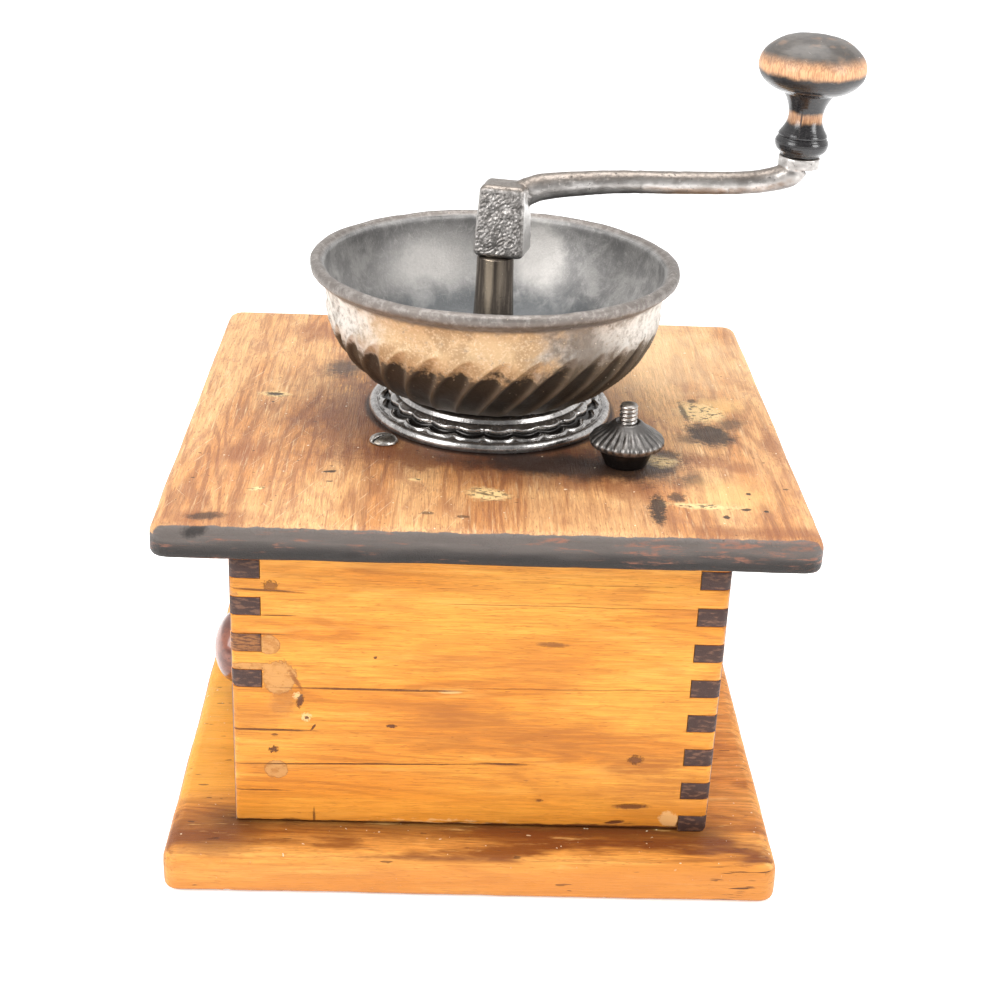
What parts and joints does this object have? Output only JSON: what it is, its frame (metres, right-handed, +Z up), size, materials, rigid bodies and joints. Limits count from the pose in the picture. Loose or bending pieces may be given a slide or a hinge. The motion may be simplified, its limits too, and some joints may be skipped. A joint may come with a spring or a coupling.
{
  "type": "hand crank coffee grinder",
  "caption": "Wooden box coffee mill with a finger-jointed case, side drawer, open cast hopper, crank with turned knob and fluted grind adjuster.",
  "frame": {"origin": "centre of the base board's underside", "axes": "+Z up through the mill, +X towards the crank's knob at rest and away from the drawer, +Y to the back of the box, seen with the drawer on the left"},
  "size_m": [0.2156, 0.201, 0.2558],
  "materials": {
    "case_wood": "worn orange-brown varnish over straight-grained softwood",
    "drawer_wood": "raw aged softwood",
    "knob_wood": "worn black and red-brown lacquer on turned wood",
    "hopper_iron": "worn bronze paint over grey cast iron",
    "ring_iron": "dark polished cast iron",
    "nut_iron": "black japanned cast iron",
    "crank_iron": "grey-brown cast iron, hand polished",
    "steel": "aged bright steel"
  },
  "bodies": {
    "case": {"base_board": "case_wood", "top_board": "case_wood", "front_wall": "case_wood", "back_wall": "case_wood", "right_wall": "case_wood", "left_panel": "case_wood", "base_screw_1": "steel", "base_screw_2": "steel", "base_screw_3": "steel", "base_screw_4": "steel", "top_nail_front": "steel", "top_nail_back": "steel", "top_nail_right": "steel", "top_nail_left": "steel", "mill_ring": "ring_iron", "hopper_bowl": "hopper_iron", "bridge": "hopper_iron", "bridge_screw_1": "steel", "bridge_screw_2": "steel", "outer_burr": "hopper_iron", "housing_screw_front": "steel", "housing_screw_back": "steel", "lever_bracket": "hopper_iron", "bracket_screw_1": "steel", "bracket_screw_2": "steel", "lever_pivot_pin": "steel"},
    "drawer": {"drawer_front": "case_wood", "drawer_side_front": "drawer_wood", "drawer_side_back": "drawer_wood", "drawer_back": "drawer_wood", "drawer_bottom": "drawer_wood", "drawer_knob": "knob_wood", "drawer_knob_screw": "steel"},
    "thrust": {"step_bearing": "steel"},
    "crank": {"spindle": "crank_iron", "inner_burr": "hopper_iron", "burr_pin": "steel", "crank": "crank_iron", "knob_pin": "steel"},
    "knob": {"crank_knob": "knob_wood"},
    "lever": {"adjusting_lever": "hopper_iron"},
    "rod": {"adjuster_rod": "steel"},
    "nut": {"adjusting_nut": "nut_iron"}
  },
  "joints": [
    {"name": "drawer_slide", "type": "slide", "parent": "case", "child": "drawer", "axis": [-1, 0, 0], "range_m": [0, 0.125]},
    {"name": "spindle_lift", "type": "slide", "parent": "case", "child": "thrust", "axis": [0, 0, 1], "range_m": [-0.0011, 0.0011]},
    {"name": "crank_turn", "type": "hinge", "parent": "thrust", "child": "crank", "pos_m": [0.0028, 0.006, 0.2], "axis": [0, 0, 1], "continuous": true},
    {"name": "knob_spin", "type": "hinge", "parent": "crank", "child": "knob", "pos_m": [0.0997, 0.006, 0.2178], "axis": [0.0366, 0, 0.9993], "continuous": true},
    {"name": "lever_tilt", "type": "hinge", "parent": "case", "child": "lever", "pos_m": [-0.03018, 0.04088, 0.074], "axis": [-0.7266, -0.6871, 0], "range_deg": [-1.35, 1.35]},
    {"name": "rod_lift", "type": "slide", "parent": "case", "child": "rod", "axis": [0, 0, 1], "range_m": [-0.0026, 0.0026]},
    {"name": "nut_turn", "type": "hinge", "parent": "case", "child": "nut", "pos_m": [0.04561, -0.03927, 0.134], "axis": [0, 0, 1], "range_deg": [-720, 720]}
  ],
  "couplings": [
    {"joint": "lever_tilt", "follows": "spindle_lift", "rad_per_m": 20.833},
    {"joint": "rod_lift", "follows": "spindle_lift", "ratio": 2.2979},
    {"joint": "nut_turn", "follows": "spindle_lift", "rad_per_m": -11369}
  ]
}
